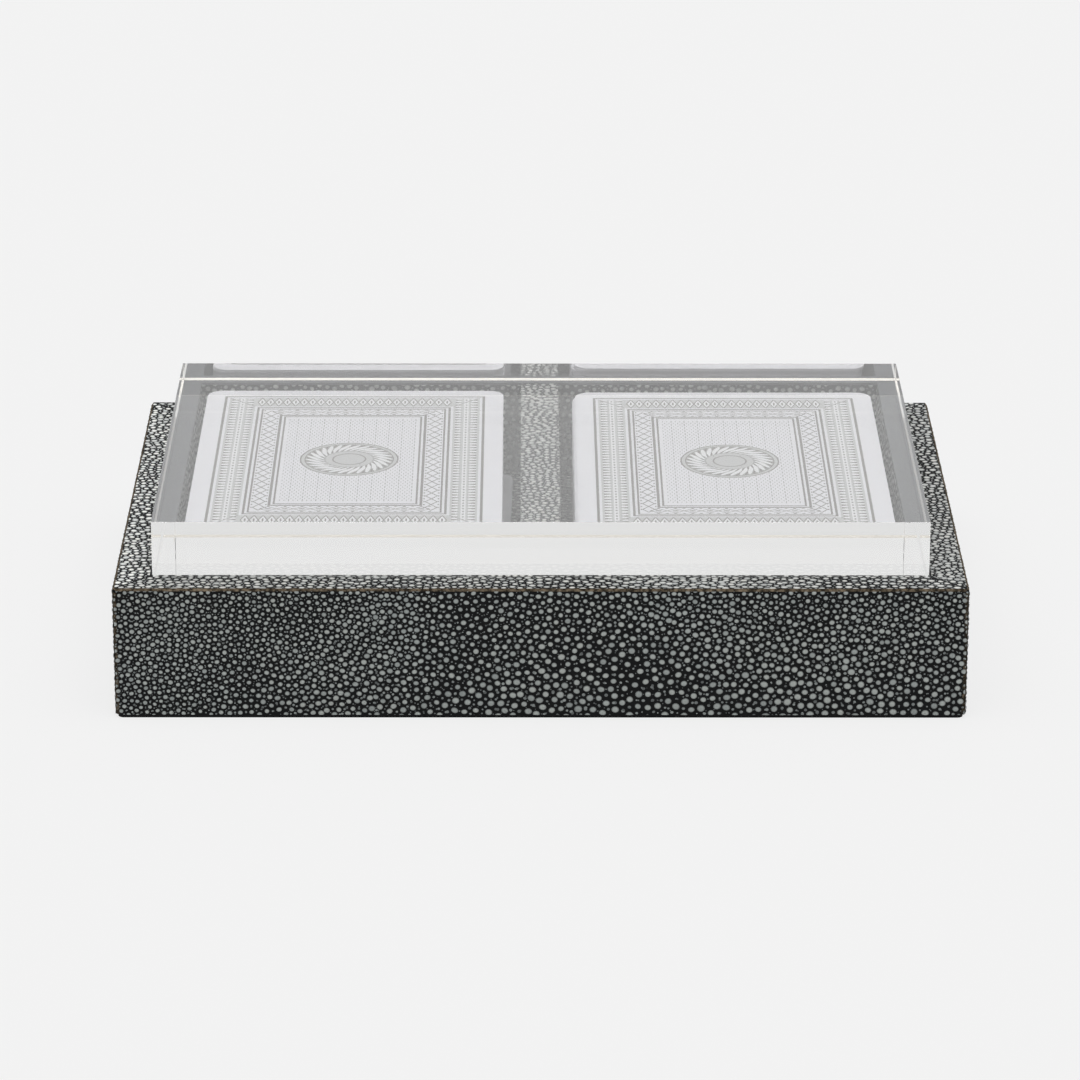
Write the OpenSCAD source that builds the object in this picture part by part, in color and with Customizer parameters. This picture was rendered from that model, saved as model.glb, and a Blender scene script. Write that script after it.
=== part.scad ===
// Covered card box with two wells, a thick clear lid and two decks of cards.
// Front is -Y, up is +Z, and the origin is under the middle of the box, where it rests.

/* [Cards] */
// Width of a card
card_w = 63.5; // [55:0.5:72]
// Length of a card
card_l = 88.9; // [80:0.1:100]
// Radius of a card's corners
card_corner_r = 3.2; // [1:0.1:6]
// Thickness of a card
card_t = 0.34; // [0.25:0.01:0.45]
// Film of air between two cards
card_air = 0.04; // [0.02:0.01:0.08]
// Cards in each suit
cards_per_suit = 13; // [9:1:15]
// Jokers in each deck
joker_count = 2; // [1:1:4]

/* [How the decks lie] */
// Left deck, from the middle of its well to the right
left_deck_x = -1.05; // [-1.2:0.05:0.2]
// Left deck, from the middle of its well to the back
left_deck_y = -1.05; // [-2.4:0.05:2.4]
// Right deck, from the middle of its well to the right
right_deck_x = 0.75; // [-0.6:0.05:1]
// Right deck, from the middle of its well to the back
right_deck_y = -2.1; // [-2.4:0.05:2.4]
// Small sideways scatter of the cards in a deck
card_scatter = 0.08; // [0:0.01:0.15]
// Lowest cards of the left deck that have slipped out of line
slipped_count = 5; // [1:1:9]
// How far those cards have slipped to the right
slipped_x = 1.5; // [0.5:0.1:1.6]
// How far those cards have turned, in degrees
slipped_turn = -0.7; // [-0.8:0.1:0.8]
// How far the jokers on the right deck have slipped to the right
jokers_slip = 0.5; // [0:0.1:0.6]

/* [Wells] */
// Room in a well beside the deck, both sides together
well_side_room = 5.6; // [5:0.1:9]
// Room in a well at the ends of the deck, both ends together
well_end_room = 7.5; // [6:0.1:10]
// Room between the top card and the lid
headroom = 0.22; // [0.2:0.02:4]
// Width of the divider between the wells, linings included
divider_w = 8; // [6:0.5:14]
// How deep the divider's ends are let into the rails
divider_dado = 1.2; // [0.5:0.1:1.6]
// How far the divider's cap stays below the lid
cap_drop = 0.3; // [0.2:0.05:0.8]

/* [Boards] */
// Thickness of the four wall boards
wall_t = 6.2; // [4.5:0.1:10]
// Thickness of the bottom board
base_t = 3.3; // [2:0.1:6]
// Width of the rebate in the walls that takes the bottom board
base_rebate = 3; // [1.5:0.1:3.5]
// Width of the ledge that carries the lid at its left and right, lining included
side_ledge_w = 4.65; // [3:0.05:8]
// Width of the ledge that carries the lid at its front and back, lining included
end_ledge_w = 2.8; // [2.5:0.05:6]

/* [Coverings] */
// Thickness of the beaded covering on the outside and on the rim
cover_t = 0.8; // [0.4:0.05:1.2]
// Thickness of the beaded lining in the wells
lining_t = 0.6; // [0.3:0.05:1]
// Thickness of the smooth lining on the ledge
ledge_lining_t = 0.5; // [0.3:0.05:1]
// Thickness of the felt under the box
felt_t = 0.8; // [0.4:0.1:2]
// How far the felt stays inside the box's outline
felt_inset = 0.5; // [0:0.1:3]
// Radius of the box's upright corners
corner_r = 1.2; // [0.4:0.1:1.6]
// Bevel on the rim's upper outer edge, where the covering is sanded through
edge_bevel = 0.45; // [0.1:0.05:0.6]

/* [Lid] */
// Thickness of the clear slab
lid_t = 13.5; // [6:0.1:20]
// Gap all round between the lid and its recess
lid_gap = 0.5; // [0.3:0.05:1.5]
// Depth of the recess that the lid drops into
recess_depth = 2.1; // [0.9:0.1:4]
// Bevel on the slab's lower edges at the front and back
lid_long_bevel = 0.8; // [0.1:0.05:2]
// Bevel on the slab's lower edges at the left and right
lid_short_bevel = 0.25; // [0.1:0.05:2]
// Bevel on the slab's upper edges
lid_upper_bevel = 0.15; // [0.1:0.05:2]
// Bevel on the slab's upright edges
lid_upright_bevel = 0.15; // [0.1:0.05:2]

/* [Hidden] */
card_pitch = card_t + card_air;
deck_count = 4 * cards_per_suit + joker_count;
deck_h = deck_count * card_pitch - card_air;

// Plan sizes, from the cards outwards
well_w = card_w + well_side_room;
well_d = card_l + well_end_room;
well_x = (divider_w + well_w) / 2;
recess_w = 2 * well_w + divider_w + 2 * side_ledge_w;
recess_d = well_d + 2 * end_ledge_w;
frame_w = recess_w + 2 * wall_t;
frame_d = recess_d + 2 * wall_t;
box_w = frame_w + 2 * cover_t;
box_d = frame_d + 2 * cover_t;
rim_w = wall_t + cover_t;
side_rail_t = side_ledge_w - lining_t;
end_rail_t = end_ledge_w - lining_t;
rail_gap = recess_d - 2 * end_rail_t;
core_w = divider_w - 2 * lining_t;
board_w = recess_w + 2 * base_rebate;
board_d = recess_d + 2 * base_rebate;
lid_w = recess_w - 2 * lid_gap;
lid_d = recess_d - 2 * lid_gap;

// Heights, from the table upwards
board_z = felt_t;
board_top = board_z + base_t;
floor_z = board_top + lining_t;
seat_z = floor_z + deck_h + headroom;
ledge_z = seat_z - ledge_lining_t;
cap_z = seat_z - cap_drop - lining_t;
box_h = seat_z + recess_depth;
rim_z = box_h - cover_t;

// Corner and bevel, kept within the thickness of the covering
corner_round = min(corner_r, 2 * cover_t);
rim_bevel = min(edge_bevel, 0.75 * cover_t);

round_steps = 48;
cut_margin = 1;

SIDES = ["front", "right", "back", "left"];
SUITS = ["spades", "hearts", "diamonds", "clubs"];

// Whether a side of the box runs along X
function runs_along_x(side) = side == "front" || side == "back";

// Angle that turns the front to another side
function turn_to(side) = side == "front" ? 0 : side == "right" ? 90 : side == "back" ? 180 : 270;

// Place of a well's middle along X
function well_middle(hand) = hand == "left" ? -well_x : well_x;

// Rectangle with round corners
module round_rectangle(w, d, r) {
  square([w - 2 * r, d], center = true);
  square([w, d - 2 * r], center = true);
  for (x = [-1, 1], y = [-1, 1])
    translate([x * (w / 2 - r), y * (d / 2 - r)])
      circle(r, $fn = round_steps);
}

// Rectangle with cut corners, standing on its lower edge
module bevelled_rectangle(w, h, lower, upper) {
  polygon([
    [-w / 2 + lower, 0], [w / 2 - lower, 0], [w / 2, lower], [w / 2, h - upper],
    [w / 2 - upper, h], [-w / 2 + upper, h], [-w / 2, h - upper], [-w / 2, lower]
  ]);
}

// One mitred side of a rectangular ring of outer size w by d, whose left and right are
// side_t wide and whose front and back are end_t wide
module ring_side(side, w, d, side_t, end_t, z, h) {
  length = runs_along_x(side) ? w : d;
  reach = (runs_along_x(side) ? d : w) / 2;
  depth = runs_along_x(side) ? end_t : side_t;
  mitre = runs_along_x(side) ? side_t : end_t;
  rotate([0, 0, turn_to(side)])
    translate([0, -reach, z])
      linear_extrude(h)
        polygon([
          [-length / 2, 0], [length / 2, 0], [length / 2 - mitre, depth], [-length / 2 + mitre, depth]
        ]);
}

// Solid that the box's outside is cut to, round at the upright corners
module outer_form() {
  translate([0, 0, felt_t])
    linear_extrude(box_h - felt_t)
      round_rectangle(box_w, box_d, corner_round);
}

// Wedge along one side that the bevel takes off the rim
module bevel_wedge(side) {
  length = (runs_along_x(side) ? box_w : box_d) + 2 * cut_margin;
  reach = (runs_along_x(side) ? box_d : box_w) / 2;
  rotate([0, 0, turn_to(side)])
    translate([-length / 2, -reach, box_h])
      rotate([90, 0, 90])
        linear_extrude(length)
          polygon([
            [-cut_margin, cut_margin], [rim_bevel + cut_margin, cut_margin],
            [-cut_margin, -rim_bevel - cut_margin]
          ]);
}

// Felt pad that the box stands on
module base_felt() {
  color("#1c1b1b")
    linear_extrude(felt_t)
      round_rectangle(box_w - 2 * felt_inset, box_d - 2 * felt_inset, corner_round);
}

// Bottom board, held in the rebate of the walls
module base_board() {
  color("#7a5b3d")
    translate([-board_w / 2, -board_d / 2, board_z])
      cube([board_w, board_d, base_t]);
}

// Wall board, mitred at the corners and rebated for the bottom board
module wall(side) {
  color("#8a6846")
    difference() {
      ring_side(side, frame_w, frame_d, wall_t, wall_t, board_z, rim_z - board_z);
      translate([-board_w / 2, -board_d / 2, board_z - cut_margin])
        cube([board_w, board_d, base_t + cut_margin]);
    }
}

// Inner rail under the ledge, with a dado for the divider at front and back
module rail(side) {
  color("#947150")
    difference() {
      ring_side(side, recess_w, recess_d, side_rail_t, end_rail_t, board_top, ledge_z - board_top);
      translate([-core_w / 2, -rail_gap / 2 - divider_dado, board_top - cut_margin])
        cube([core_w, rail_gap + 2 * divider_dado, cap_z - board_top + cut_margin]);
    }
}

// Beaded covering on one outside face
module cover(side) {
  color("#3b3f40")
    intersection() {
      ring_side(side, box_w, box_d, cover_t, cover_t, felt_t, rim_z - felt_t);
      outer_form();
    }
}

// Beaded covering on one side of the rim, bevelled along its outer edge
module rim(side) {
  color("#8f9896")
    difference() {
      intersection() {
        ring_side(side, box_w, box_d, rim_w, rim_w, rim_z, cover_t);
        outer_form();
      }
      for (edge = SIDES)
        bevel_wedge(edge);
    }
}

// Smooth lining on one side of the ledge
module ledge(side) {
  color("#2a2a2b")
    ring_side(side, recess_w, recess_d, side_ledge_w, end_ledge_w, ledge_z, ledge_lining_t);
}

// Board between the two wells
module divider() {
  color("#8a6846")
    translate([-core_w / 2, -rail_gap / 2 - divider_dado, board_top])
      cube([core_w, rail_gap + 2 * divider_dado, cap_z - board_top]);
}

// Beaded strip on top of the divider
module divider_cap() {
  color("#8f9896")
    translate([-divider_w / 2, -well_d / 2, cap_z])
      cube([divider_w, well_d, lining_t]);
}

// Beaded lining on the floor of a well
module well_floor(hand) {
  color("#303435")
    translate([well_middle(hand) - well_w / 2, -well_d / 2, board_top])
      cube([well_w, well_d, lining_t]);
}

// Beaded lining on one wall of a well, up to the ledge or the divider's cap
module well_lining(hand, side) {
  inner_side = hand == "left" ? "right" : "left";
  top = side == inner_side ? cap_z : ledge_z;
  color("#303435")
    translate([well_middle(hand), 0, 0])
      ring_side(side, well_w + 2 * lining_t, well_d + 2 * lining_t, lining_t, lining_t, board_top,
                top - board_top);
}

// Clear slab with polished faces and bevelled edges
module lid() {
  color("#dfe3e4", 0.4)
    translate([0, 0, seat_z])
      intersection() {
        translate([0, lid_d / 2, 0])
          rotate([90, 0, 0])
            linear_extrude(lid_d)
              bevelled_rectangle(lid_w, lid_t, lid_short_bevel, lid_upper_bevel);
        translate([-lid_w / 2, 0, 0])
          rotate([90, 0, 90])
            linear_extrude(lid_w)
              bevelled_rectangle(lid_d, lid_t, lid_long_bevel, lid_upper_bevel);
        translate([0, -lid_d / 2, 0])
          linear_extrude(lid_t)
            bevelled_rectangle(lid_w, lid_d, lid_upright_bevel, lid_upright_bevel);
      }
}

// One card of a deck, counted from the bottom
module card(index, slip_x, turn) {
  scatter_x = card_scatter * sin(index * 137);
  scatter_y = card_scatter * cos(index * 83);
  translate([slip_x + scatter_x, scatter_y, floor_z + index * card_pitch])
    rotate([0, 0, turn])
      linear_extrude(card_t)
        round_rectangle(card_w, card_l, card_corner_r);
}

// Cards of one suit of the left deck, whose lowest cards have slipped to the right
module left_suit(suit) {
  color("#e9e9ee")
    translate([-well_x + left_deck_x, left_deck_y, 0])
      for (i = [suit * cards_per_suit : (suit + 1) * cards_per_suit - 1])
        card(i, i < slipped_count ? slipped_x : 0, i < slipped_count ? slipped_turn : 0);
}

// Cards of one suit of the right deck
module right_suit(suit) {
  color("#e9e9ee")
    translate([well_x + right_deck_x - jokers_slip, right_deck_y, 0])
      for (i = [suit * cards_per_suit : (suit + 1) * cards_per_suit - 1])
        card(i, 0, 0);
}

// Jokers on top of a deck
module jokers(x, y) {
  color("#f1f1f4")
    translate([x, y, 0])
      for (i = [4 * cards_per_suit : deck_count - 1])
        card(i, 0, 0);
}

base_felt();
base_board();
for (side = SIDES) {
  wall(side);
  rail(side);
  cover(side);
  rim(side);
  ledge(side);
}
divider();
divider_cap();
well_floor("left");  // left_well_floor
well_lining("left", "front");  // left_well_front
well_lining("left", "right");  // left_well_inner
well_lining("left", "back");  // left_well_back
well_lining("left", "left");  // left_well_outer
well_floor("right");  // right_well_floor
well_lining("right", "front");  // right_well_front
well_lining("right", "right");  // right_well_outer
well_lining("right", "back");  // right_well_back
well_lining("right", "left");  // right_well_inner
lid();
for (suit = [0 : 3]) {
  left_suit(suit);
  right_suit(suit);
}
jokers(-well_x + left_deck_x, left_deck_y);  // left_jokers
jokers(well_x + right_deck_x, right_deck_y);  // right_jokers
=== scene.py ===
"""Looks of a card box covered in beaded hide, with a clear lid and two decks of cards"""

import math
import random

import bmesh
import bpy
from bpy.props import FloatProperty, FloatVectorProperty, IntProperty, PointerProperty
from mathutils import Matrix, Vector
from mathutils.geometry import delaunay_2d_cdt
from mathutils.kdtree import KDTree


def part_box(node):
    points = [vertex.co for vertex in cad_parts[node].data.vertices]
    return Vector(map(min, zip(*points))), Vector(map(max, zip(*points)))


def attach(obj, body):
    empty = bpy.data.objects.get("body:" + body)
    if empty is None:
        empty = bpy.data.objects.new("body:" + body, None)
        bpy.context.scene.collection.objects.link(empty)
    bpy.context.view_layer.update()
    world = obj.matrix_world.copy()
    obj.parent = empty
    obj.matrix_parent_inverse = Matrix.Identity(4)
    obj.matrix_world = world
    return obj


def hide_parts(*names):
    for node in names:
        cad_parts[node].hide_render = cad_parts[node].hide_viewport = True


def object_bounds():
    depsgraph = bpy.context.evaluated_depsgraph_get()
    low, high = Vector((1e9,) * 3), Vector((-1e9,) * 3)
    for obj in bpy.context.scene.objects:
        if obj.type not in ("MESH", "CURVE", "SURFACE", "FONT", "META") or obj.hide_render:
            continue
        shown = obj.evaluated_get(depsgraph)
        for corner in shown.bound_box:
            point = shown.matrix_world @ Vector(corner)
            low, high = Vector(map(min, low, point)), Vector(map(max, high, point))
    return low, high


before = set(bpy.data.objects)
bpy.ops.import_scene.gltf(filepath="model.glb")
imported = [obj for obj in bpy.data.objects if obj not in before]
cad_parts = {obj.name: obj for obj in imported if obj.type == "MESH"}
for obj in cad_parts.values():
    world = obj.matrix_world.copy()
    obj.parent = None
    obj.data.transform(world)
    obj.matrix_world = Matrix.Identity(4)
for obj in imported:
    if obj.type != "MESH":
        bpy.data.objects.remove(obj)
CAD_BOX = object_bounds()

bl_info = {
    "name": "Covered card box",
    "version": (1, 0, 0),
    "blender": (4, 5, 0),
    "location": "3D View > Sidebar > Card Box",
    "description": "Dresses the frame of a covered card box with its beads, cards and clear lid",
    "category": "Object",
}

MM = 0.001
SIDES = ("front", "right", "back", "left")
HANDS = ("left", "right")
SUITS = ("spades", "hearts", "diamonds", "clubs", "jokers")
BOARDS = ("base_board", "divider") + tuple(f"{s}_{p}" for s in SIDES for p in ("wall", "rail"))
WELL_WALLS = {"left": ("back", "outer", "front", "inner"), "right": ("back", "inner", "front", "outer")}

# Sizes of the solids: bevel of the rim strips, rounding of the box's upright corners,
# one card with the air over it, and how far the two jokers lie out of line
RIM_BEVEL = 0.45 * MM
CORNER_ROUND = 0.3 * MM
CARD_PITCH = 0.38 * MM
CARD_SCATTER = 0.08 * MM

# Painted light: how much lighter the rim's beads are painted than those outside, in red, green and blue,
# standing in for the brighter light on the rim's top, and the painted light of each rim strip, set by
# the side the light comes from
RIM_PAINTED_LIGHT = (1.84, 1.74, 1.74)
RIM_SIDE_PAINTED_LIGHT = {"front": 0.87, "right": 0.78, "back": 1.0, "left": 1.2}
# Painted light: the beads in the wells and on the divider are painted lighter than those outside, for
# the light under the lid
LINING_PAINTED_LIGHT = (1.58, 1.52, 1.52)
DIVIDER_PAINTED_LIGHT = (1.62, 1.52, 1.52)

# Kinds of beads, and how far the tone of the small ones is lowered by the dye
LARGE, MEDIUM, TINY = range(3)
MEDIUM_DYED = -0.85
TINY_DYED = -1.0

# Seeds of the random draws, to which each side or wall adds its own number
OUTER_SEED = 100
RIM_SEED = 200
DIVIDER_SEED = 300
WELL_SEEDS = {"left": 310, "right": 320}

# Tones of the print on the cards
PAPER, INK, TINT, DEEP = range(4)

# Printed frames: tone, and the insets of their outer and inner edges from the card's edge in millimetres
FRAMES = (
    (INK, 3.85, 4.4),
    (TINT, 4.95, 10.55),
    (INK, 11.1, 11.6),
    (INK, 12.1, 12.5),
    (INK, 16.1, 16.65),
    (INK, 17.1, 17.5),
)

# Stage: half the floor's width in metres, the camera's sensor in millimetres, where the room behind the
# camera ends and the backdrop starts, as the Y of a direction, and the two softboxes
FLOOR_REACH = 4.0
SENSOR_WIDTH = 36.0
ROOM_END, BACKDROP_START = -0.3, 0.4
SOFTBOX_RISE = math.radians(72.0)
SOFTBOX_SPREAD = math.radians(50.0)
SOFTBOXES = {"left softbox": math.radians(-60.0), "right softbox": math.radians(60.0)}


class HideSettings(bpy.types.PropertyGroup):
    """Sizes and colours of the beaded hide"""

    spacing: FloatProperty(
        name="Bead spacing",
        description="Usual distance between the middles of two large beads where they are small",
        default=1.5 * MM,
        unit="LENGTH",
        precision=5,
    )
    medium: FloatProperty(
        name="Medium bead",
        description="Largest radius of a bead that lies between the large ones",
        default=0.25 * MM,
        unit="LENGTH",
        precision=5,
    )
    tiny: FloatProperty(
        name="Tiny bead",
        description="Largest radius of the smallest beads",
        default=0.125 * MM,
        unit="LENGTH",
        precision=5,
    )
    height: FloatProperty(
        name="Bead height",
        description="How far a large bead stands out of the dyed ground",
        default=0.12 * MM,
        unit="LENGTH",
        precision=5,
    )
    cool: FloatVectorProperty(
        name="Cool beads",
        description="Colour of the cooler beads",
        default=(0.36, 0.405, 0.404),
        size=3,
        subtype="COLOR",
    )
    warm: FloatVectorProperty(
        name="Warm beads",
        description="Colour of the warmer beads",
        default=(0.41, 0.43, 0.404),
        size=3,
        subtype="COLOR",
    )
    ground: FloatVectorProperty(
        name="Ground",
        description="Colour of the dyed hide between the beads",
        default=(0.0052, 0.0055, 0.0058),
        size=3,
        subtype="COLOR",
    )
    raw: FloatVectorProperty(
        name="Raw edge",
        description="Colour of the hide where its edge is sanded bare",
        default=(0.21, 0.165, 0.115),
        size=3,
        subtype="COLOR",
    )


class CardSettings(bpy.types.PropertyGroup):
    """Sizes and colours of the cards"""

    paper: FloatVectorProperty(
        name="Paper",
        description="Colour of the card stock",
        default=(0.925, 0.915, 0.955),
        size=3,
        subtype="COLOR",
    )
    ink: FloatVectorProperty(
        name="Ink",
        description="Colour of the printed lines",
        default=(0.17, 0.155, 0.14),
        size=3,
        subtype="COLOR",
    )
    tint: FloatVectorProperty(
        name="Tint",
        description="Colour of the printed half tones",
        default=(0.60, 0.60, 0.60),
        size=3,
        subtype="COLOR",
    )
    deep: FloatVectorProperty(
        name="Deep tint",
        description="Colour of the deeper printed half tones",
        default=(0.36, 0.355, 0.35),
        size=3,
        subtype="COLOR",
    )
    rosette: FloatProperty(
        name="Rosette",
        description="Radius of the round ornament in the middle of the back",
        default=10.25 * MM,
        unit="LENGTH",
        precision=5,
    )
    petals: IntProperty(
        name="Petals",
        description="Curved petals in the rosette",
        default=28,
        min=8,
    )
    film: FloatProperty(
        name="Ink film",
        description="Height of one layer of print above the card",
        default=0.008 * MM,
        unit="LENGTH",
        precision=6,
    )


class LidSettings(bpy.types.PropertyGroup):
    """Sizes and finish of the clear lid"""

    long_bevel: FloatProperty(
        name="Long bevel",
        description="Bevel along the lower edges at the front and back of the slab",
        default=0.8 * MM,
        unit="LENGTH",
        precision=5,
    )
    short_bevel: FloatProperty(
        name="Short bevel",
        description="Bevel along the lower edges at the left and right of the slab",
        default=0.25 * MM,
        unit="LENGTH",
        precision=5,
    )
    upper_bevel: FloatProperty(
        name="Upper bevel",
        description="Polished bevel along the upper and upright edges of the slab",
        default=0.05 * MM,
        unit="LENGTH",
        precision=5,
    )
    back_bevel: FloatProperty(
        name="Back bevel",
        description="Scraped bevel along the upper edge at the back of the slab",
        default=0.3 * MM,
        unit="LENGTH",
        precision=5,
    )
    air: FloatProperty(
        name="Air film",
        description="Air that stays between the slab and the leather it lies on",
        default=0.05 * MM,
        unit="LENGTH",
        precision=5,
    )
    ior: FloatProperty(
        name="Refraction",
        description="Index of refraction of the acrylic",
        default=1.49,
    )
    tint: FloatProperty(
        name="Tint",
        description="How much light the acrylic takes up over a metre",
        default=1.9,
    )
    # Painted glow: the scraped bevels are made to give off light, standing in for the light they gather
    # from inside the slab
    glow: FloatProperty(
        name="Glow",
        description="Light that the scraped bevels gather from inside the slab",
        default=0.6,
        subtype="FACTOR",
    )


class StageSettings(bpy.types.PropertyGroup):
    """Light, floor and camera"""

    backdrop: FloatProperty(
        name="Backdrop",
        description="Brightness of the pale backdrop and floor",
        default=0.891,
        subtype="FACTOR",
    )
    ambient: FloatProperty(
        name="Ambient light",
        description="Share of the light that comes from all round",
        default=0.34,
        subtype="FACTOR",
    )
    room: FloatProperty(
        name="Room",
        description="Brightness of the room behind the camera, as the lid and the beads mirror it",
        default=0.42,
        subtype="FACTOR",
    )
    shine: FloatProperty(
        name="Shine",
        description="Brightness of the backdrop as the lid's top mirrors it",
        default=0.975,
        subtype="FACTOR",
    )
    through: FloatProperty(
        name="Through",
        description="Brightness of the backdrop as it shows through the lid",
        default=0.84,
        subtype="FACTOR",
    )
    even: FloatProperty(
        name="Even floor",
        description="How far the floor that the camera sees is evened out to the backdrop",
        default=0.87,
        subtype="FACTOR",
    )
    lens: FloatProperty(
        name="Lens",
        description="Focal length of the camera on a 36 mm sensor, in millimetres",
        default=170.05,
    )
    tilt: FloatProperty(
        name="Tilt",
        description="How far the camera looks down",
        default=math.radians(20.16),
        subtype="ANGLE",
    )
    pan: FloatProperty(
        name="Pan",
        description="How far the camera looks to the left",
        default=-0.0033,
        subtype="ANGLE",
    )
    roll: FloatProperty(
        name="Roll",
        description="How far the camera leans to its left",
        default=0.0017,
        subtype="ANGLE",
    )
    position: FloatVectorProperty(
        name="Camera",
        description="Where the camera stands",
        default=(-0.0033, -1.0003, 0.38385),
        size=3,
        subtype="TRANSLATION",
        unit="LENGTH",
    )


SETTINGS = {"hide": HideSettings, "cards": CardSettings, "lid": LidSettings, "stage": StageSettings}


def settings(name):
    """Settings of one kind in the open scene"""
    return getattr(bpy.context.scene, "card_box_" + name)


def feed(tree, node, inputs):
    """Sets or joins the inputs of a node"""
    for key, value in inputs.items():
        if isinstance(value, bpy.types.NodeSocket):
            tree.links.new(value, node.inputs[key])
        else:
            node.inputs[key].default_value = value


def add(tree, kind, inputs=None, **options):
    """Adds a node with its options and inputs, and gives it back"""
    made = tree.nodes.new(kind)
    for option, value in options.items():
        setattr(made, option, value)
    feed(tree, made, inputs or {})
    return made


def calc(tree, operation, *values):
    """Output of a Math node"""
    return add(tree, "ShaderNodeMath", dict(enumerate(values)), operation=operation).outputs[0]


def split_xyz(tree, vector):
    """X, Y and Z of a vector"""
    return add(tree, "ShaderNodeSeparateXYZ", {0: vector}).outputs


def join_xyz(tree, **parts):
    """Vector with the given X, Y and Z"""
    return add(tree, "ShaderNodeCombineXYZ", parts).outputs[0]


def new_group(name, kind, inputs, outputs):
    """Empty node group with named sockets, given as (name, socket type, default)"""
    tree = bpy.data.node_groups.new(name, kind)
    for title, socket, default in inputs:
        made = tree.interface.new_socket(title, in_out="INPUT", socket_type="NodeSocket" + socket)
        if default is not None:
            made.default_value = default
    for title, socket in outputs:
        tree.interface.new_socket(title, in_out="OUTPUT", socket_type="NodeSocket" + socket)
    return tree, tree.nodes.new("NodeGroupInput").outputs, tree.nodes.new("NodeGroupOutput").inputs


def grown(mesh, tree, values):
    """Runs a mesh through a geometry tree and gives the plain mesh that comes out"""
    carrier = bpy.data.objects.new("carrier", mesh)
    bpy.context.scene.collection.objects.link(carrier)
    modifier = carrier.modifiers.new("grow", "NODES")
    modifier.node_group = tree
    for item in tree.interface.items_tree:
        if item.in_out == "INPUT" and item.name in values:
            modifier[item.identifier] = values[item.name]
    graph = bpy.context.evaluated_depsgraph_get()
    result = bpy.data.meshes.new_from_object(
        carrier.evaluated_get(graph), preserve_all_data_layers=True, depsgraph=graph
    )
    carrier.modifiers.remove(modifier)
    bpy.data.objects.remove(carrier)
    bpy.data.meshes.remove(mesh)
    return result


def piece(name, mesh, body, stands_for=()):
    """Makes a mesh a named piece that rides on a body"""
    if not mesh.polygons:
        raise RuntimeError(f"{name} has no faces")
    mesh.name = name
    made = bpy.data.objects.new(name, mesh)
    bpy.context.scene.collection.objects.link(made)
    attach(made, body)
    if stands_for:
        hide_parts(*stands_for)
    return made


def dress(nodes, material):
    """Gives CAD nodes a material"""
    for name in nodes:
        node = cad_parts[name]
        if not node.data.materials:
            node.data.materials.append(material)
        for slot in node.material_slots:
            slot.material = material


def polygon_mesh(name, polygons, height=0.0):
    """Flat mesh of polygons given as lists of (x, y) in metres"""
    mesh = bpy.data.meshes.new(name)
    points = []
    faces = []
    for outline in polygons:
        faces.append(range(len(points), len(points) + len(outline)))
        points.extend((x, y, height) for x, y in outline)
    mesh.from_pydata(points, [], faces)
    return mesh


def mesh_from(work, name):
    """Mesh of what was built in a bmesh, which is let go"""
    mesh = bpy.data.meshes.new(name)
    work.to_mesh(mesh)
    work.free()
    return mesh


def joined(name, parts, materials):
    """One mesh from (mesh, material index) pairs"""
    work = bmesh.new()
    for part, index in parts:
        before = len(work.faces)
        work.from_mesh(part)
        work.faces.ensure_lookup_table()
        for face in work.faces[before:]:
            face.material_index = index
        bpy.data.meshes.remove(part)
    mesh = mesh_from(work, name)
    for material in materials:
        mesh.materials.append(material)
    return mesh


# Shader groups


def noise(tree, vector, scale, detail, roughness=0.5, distortion=0.0):
    """Noise from 0 to 1"""
    inputs = {"Vector": vector, "Scale": scale, "Detail": detail}
    inputs.update({"Roughness": roughness, "Distortion": distortion})
    return add(tree, "ShaderNodeTexNoise", inputs).outputs["Fac"]


def ranged(tree, value, low, high, to_low, to_high):
    """Value mapped from one range to another"""
    keys = ("Value", "From Min", "From Max", "To Min", "To Max")
    made = add(tree, "ShaderNodeMapRange", dict(zip(keys, (value, low, high, to_low, to_high))))
    return made.outputs[0]


def shader_group(name, inputs, outputs):
    """Shader group made once, with its input and output sockets, or None if it is there already"""
    if name in bpy.data.node_groups:
        return None
    return new_group(name, "ShaderNodeTree", inputs, outputs)


def grain_group():
    """Fine grain: a tone from 0 to 1 and a height, at given counts of grains and patches to the metre"""
    name = "Fine grain"
    made = shader_group(
        name,
        (("Vector", "Vector", None), ("Grains", "Float", 4000.0), ("Mottle", "Float", 300.0)),
        (("Tone", "Float"), ("Height", "Float")),
    )
    if made:
        tree, given, result = made
        inputs = {"Vector": given["Vector"], "Scale": given["Grains"]}
        cells = add(tree, "ShaderNodeTexVoronoi", inputs).outputs["Distance"]
        mottle = noise(tree, given["Vector"], given["Mottle"], 3.0)
        share = 0.6
        fine = calc(tree, "MULTIPLY", cells, share)
        tone = calc(tree, "ADD", fine, calc(tree, "MULTIPLY", mottle, share))
        tree.links.new(tone, result["Tone"])
        tree.links.new(calc(tree, "SUBTRACT", 1.0, cells), result["Height"])
    return bpy.data.node_groups[name]


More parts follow.
